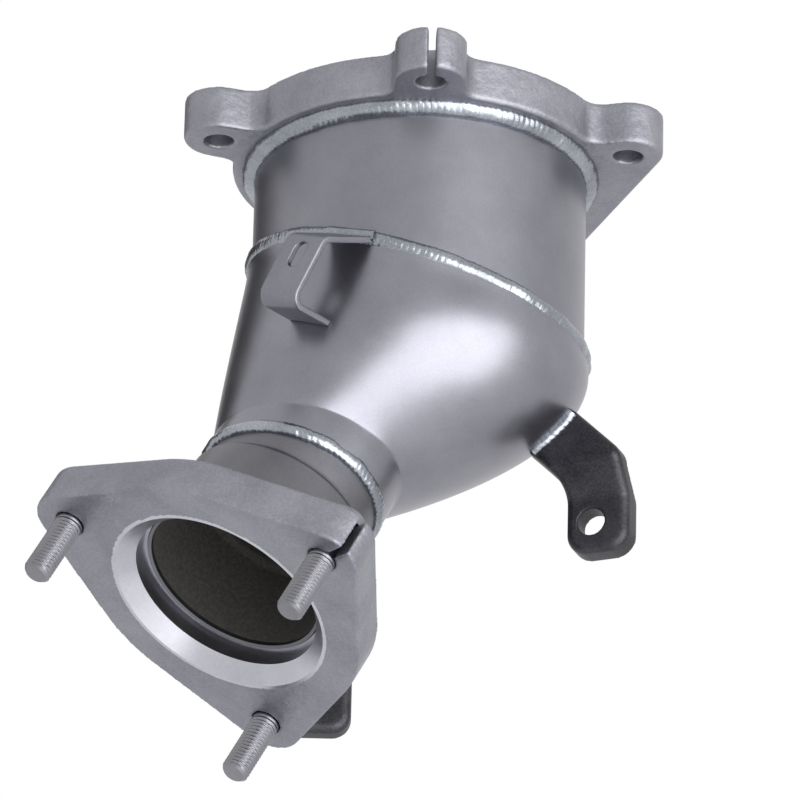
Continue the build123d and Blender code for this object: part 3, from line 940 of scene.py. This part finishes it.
def colour(code):
    """Linear colour of an sRGB hex value."""
    parts = [int(code[i : i + 2], 16) / 255 for i in (1, 3, 5)]
    linear = [c / 12.92 if c <= 0.04045 else ((c + 0.055) / 1.055) ** 2.4 for c in parts]
    return (*linear, 1.0)


def add(tree, kind, inputs=None, **options):
    """Adds a node: options are its settings, and inputs are values or sockets to link."""
    node = tree.nodes.new(kind)
    for name, value in options.items():
        setattr(node, name, value)
    for name, value in (inputs or {}).items():
        if isinstance(value, bpy.types.NodeSocket):
            tree.links.new(value, node.inputs[name])
        else:
            node.inputs[name].default_value = value
    return node


def calculate(tree, operation, *values):
    """Result of a math node on numbers or sockets."""
    return add(tree, "ShaderNodeMath", dict(enumerate(values)), operation=operation).outputs[0]


def new_material(name):
    material = bpy.data.materials.new(name)
    material.use_nodes = True
    tree = material.node_tree
    tree.nodes.clear()
    shader = add(tree, "ShaderNodeBsdfPrincipled")
    add(tree, "ShaderNodeOutputMaterial", {"Surface": shader.outputs["BSDF"]})
    return material, tree, shader


def noise(tree, size_mm, detail=3.0, rough=0.5):
    """Noise with lumps of a real size."""
    place = add(tree, "ShaderNodeTexCoord").outputs["Object"]
    inputs = {"Vector": place, "Scale": 1 / (size_mm * MM), "Detail": detail, "Roughness": rough}
    return add(tree, "ShaderNodeTexNoise", inputs).outputs["Fac"]


def spread(tree, factor, low, high, low_at=0.35, high_at=0.65):
    """Colour between two colours by a factor."""
    ramp = add(tree, "ShaderNodeValToRGB", {"Fac": factor})
    for element, place, code in zip(ramp.color_ramp.elements, (low_at, high_at), (low, high)):
        element.position = place
        element.color = colour(code)
    return ramp.outputs["Color"]


def bump(tree, height, depth_mm, under=None):
    inputs = {"Height": height, "Strength": 1.0, "Distance": depth_mm * MM}
    if under:
        inputs["Normal"] = under
    return add(tree, "ShaderNodeBump", inputs).outputs["Normal"]


def metal(name, dark, light, rough, grain_mm, grain_depth, lump_mm=0.0, lump_depth=0.0):
    """Metal with cloudy colour, a grain of a size in millimetres and, on castings, lumps."""
    material, tree, shader = new_material(name)
    cloud = noise(tree, CLOUD_SIZE, 4.0, 0.6)
    grain = noise(tree, grain_mm)
    fine = calculate(tree, "MULTIPLY", grain, 1 - CLOUD_SHARE)
    mixed = calculate(tree, "MULTIPLY_ADD", cloud, CLOUD_SHARE, fine)
    tree.links.new(spread(tree, mixed, dark, light), shader.inputs["Base Color"])
    shader.inputs["Metallic"].default_value = 1.0
    inputs = {"Value": mixed, "To Min": rough - ROUGH_SPREAD, "To Max": rough + ROUGH_SPREAD}
    polish = add(tree, "ShaderNodeMapRange", inputs)
    tree.links.new(polish.outputs["Result"], shader.inputs["Roughness"])
    under = bump(tree, noise(tree, lump_mm, 2.0), lump_depth) if lump_mm else None
    tree.links.new(bump(tree, grain, grain_depth, under), shader.inputs["Normal"])
    return material


def matt(name, dark, light, grain_mm, grain_depth):
    """Matt stuff such as ceramic or fibre, speckled and rough."""
    material, tree, shader = new_material(name)
    grain = noise(tree, grain_mm, 5.0)
    tree.links.new(spread(tree, grain, dark, light), shader.inputs["Base Color"])
    shader.inputs["Roughness"].default_value = 0.9
    tree.links.new(bump(tree, grain, grain_depth), shader.inputs["Normal"])
    return material


def dress(node, material):
    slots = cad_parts[node].data.materials
    slots.clear()
    slots.append(material)


# Stage, light and camera


def plain(name, code):
    material, _, shader = new_material(name)
    shader.inputs["Base Color"].default_value = colour(code)
    shader.inputs["Roughness"].default_value = 0.9
    return material


def make_stage():
    """Pale floor far below the hanging part, and white surroundings."""
    reach = 14000
    level = -1700
    thickness = 20
    floor = bar("floor", (-reach, -reach, level - thickness), (reach, reach, level))
    floor.data.materials.append(plain("pale_floor", "#f6f6f6"))
    world = bpy.data.worlds.new("studio")
    bpy.context.scene.world = world
    world.use_nodes = True
    tree = world.node_tree
    tree.nodes.clear()
    light = add(tree, "ShaderNodeBackground", {"Color": (1, 1, 1, 1), "Strength": 1.0})
    add(tree, "ShaderNodeOutputWorld", {"Surface": light.outputs["Background"]})


def from_part(azimuth, elevation, distance):
    """Place in metres at an angle from the middle of the part."""
    a = math.radians(azimuth)
    e = math.radians(elevation)
    way = Vector((math.cos(a) * math.cos(e), math.sin(a) * math.cos(e), math.sin(e)))
    return way * distance + MIDDLE


def facing(place):
    return (MIDDLE - place).to_track_quat("-Z", "Y").to_matrix().to_4x4()


def make_lamp(name, azimuth, elevation, distance, size, power):
    lamp = bpy.data.lights.new(name, "AREA")
    lamp.shape = "RECTANGLE"
    lamp.size, lamp.size_y = size
    lamp.energy = power
    holder = bpy.data.objects.new(name, lamp)
    place = from_part(azimuth, elevation, distance)
    holder.matrix_world = Matrix.Translation(place) @ facing(place)
    bpy.context.scene.collection.objects.link(holder)


def make_card(name, azimuth, elevation, distance, size, code):
    """Card that shows only in the metal's reflections, as a studio uses to model a bright surface."""
    half_width = size[0] / 2 / MM
    half_height = size[1] / 2 / MM
    signs = ((-1, -1), (1, -1), (1, 1), (-1, 1))
    corners = [(x * half_width, y * half_height, 0) for x, y in signs]
    place = from_part(azimuth, elevation, distance)
    card = build_mesh(name, corners, [(0, 1, 2, 3)], Matrix.Translation(place / MM) @ facing(place))
    card.data.materials.append(plain(name, code))
    for ray in ("camera", "diffuse", "transmission", "volume_scatter", "shadow"):
        setattr(card, f"visible_{ray}", False)


def camera_aim(forward, right, up, roll, pixels_per_mm, distance):
    """Place of the camera and its aim, so that the origin falls where the photograph has it."""
    origin_at = (421.5, 139.0)
    frame_middle = (392.5, 400.0)
    dx = (frame_middle[0] - origin_at[0]) / pixels_per_mm * MM
    dy = (frame_middle[1] - origin_at[1]) / pixels_per_mm * MM
    sideways = dx * math.cos(roll) + dy * math.sin(roll)
    down = -dx * math.sin(roll) + dy * math.cos(roll)
    eye = -forward * distance
    return eye, (right * sideways - up * down - eye).normalized()


def make_camera():
    """Camera at the photograph's angle, as fitted to the can, the flanges and the studs."""
    elevation = math.radians(-26.25)
    roll = math.radians(1.3)
    distance = 2.5
    pixels_per_mm = 2.797
    long_side = 800
    forward = Vector((0, math.cos(elevation), -math.sin(elevation)))
    right = Vector((1, 0, 0))
    up = right.cross(forward)
    eye, aim = camera_aim(forward, right, up, roll, pixels_per_mm, distance)
    camera = bpy.data.cameras.new("camera")
    camera.sensor_width = 36.0
    camera.lens = pixels_per_mm * distance / MM / long_side * camera.sensor_width
    camera.clip_start = 0.05
    camera.clip_end = 60
    holder = bpy.data.objects.new("camera", camera)
    side = aim.cross(up).normalized()
    top = side.cross(aim)
    turned_side = side * math.cos(roll) + top * math.sin(roll)
    turned_top = turned_side.cross(aim)
    rows = [(turned_side[i], turned_top[i], -aim[i], eye[i]) for i in range(3)]
    holder.matrix_world = Matrix(rows + [(0, 0, 0, 1)])
    bpy.context.scene.collection.objects.link(holder)
    bpy.context.scene.camera = holder


def make_castings_and_shells():
    # Sand-cast iron with a silver heat finish: dull, lumpy and lighter than the sheet
    cast = metal("sand_cast_iron_silvered", "#80808a", "#98989f", 0.5, 0.9, 0.10, 6.0, 0.5)
    make_inlet_flange(cast)
    # Turned seat: brighter and finer than the casting round it
    make_outlet_flange(cast, metal("turned_seat_iron", "#b0b0b8", "#c4c4cc", 0.3, 0.5, 0.02))
    # Rolled and drawn stainless sheet: satin, nearly even, its fine grain drawn coarse enough to show
    make_can(metal("rolled_stainless_satin", "#7b7b83", "#88888f", 0.38, 0.5, 0.02))
    # Inside of the shell: dry soot and oxide, which scatter the little light that gets in
    sooted = matt("sooted_oxide", "#302f2d", "#413f3c", 1.2, 0.15)
    make_cone(metal("drawn_stainless_satin", "#7e7e86", "#8b8b93", 0.33, 0.6, 0.02), sooted)
    make_pipe(metal("stainless_tube", "#66666b", "#747479", 0.4, 0.6, 0.02), sooted)


def make_fixings():
    # Zinc-plated steel: plain grey with a soft gloss on the crests of the thread
    make_studs(metal("zinc_plated_steel", "#7a7a7f", "#8e8e94", 0.36, 0.4, 0.02))
    # Fresh weld: bright and glassy on its ripples
    weld = metal("bright_weld", "#74787f", "#a2a6ad", 0.26, 0.7, 0.06)
    make_welds(weld)
    for node in ("bridge_bracket_weld", "rear_bracket_weld"):
        dress(node, weld)


def make_inside():
    # Porous ceramic with a thin washcoat: matt, tan and speckled
    make_monolith(matt("washcoated_cordierite", "#8f8676", "#b8ae9a", 1.2, 0.1))
    # Ceramic fibre: matt, soft and off-white
    dress("support_mat", matt("ceramic_fibre_mat", "#a39d8f", "#cfcabd", 2.0, 0.4))
    # Knitted wire: a deep, even texture of loops
    wire = metal("knitted_wire", "#6d6e70", "#8c8d8f", 0.45, 0.5, 0.3)
    dress("mat_ring_upper", wire)
    dress("mat_ring_lower", wire)


def make_brackets():
    # Pressed sheet: both channels are coloured a plain dark grey, and the small strip is satin
    dark_sheet = metal("pressed_steel_dark_grey", "#323236", "#505054", 0.46, 0.8, 0.05)
    pressed = metal("pressed_stainless_satin", "#7b7b83", "#8a8a92", 0.42, 0.8, 0.04)
    make_bracket("support_channel", "support_bracket", dark_sheet)
    make_bracket("bridge_strip", "bridge_bracket", pressed)
    make_bracket("rear_channel", "rear_bracket", dark_sheet)


def main():
    make_castings_and_shells()
    make_fixings()
    make_inside()
    make_brackets()
    make_stage()
    make_lamp("key", -54, -14, 2.0, (2.4, 2.3), 57)
    make_card("dark_card_left", 132, 26, 1.6, (1.0, 1.0), "#202020")
    make_camera()
    bpy.context.scene.view_settings.view_transform = "Standard"


main()
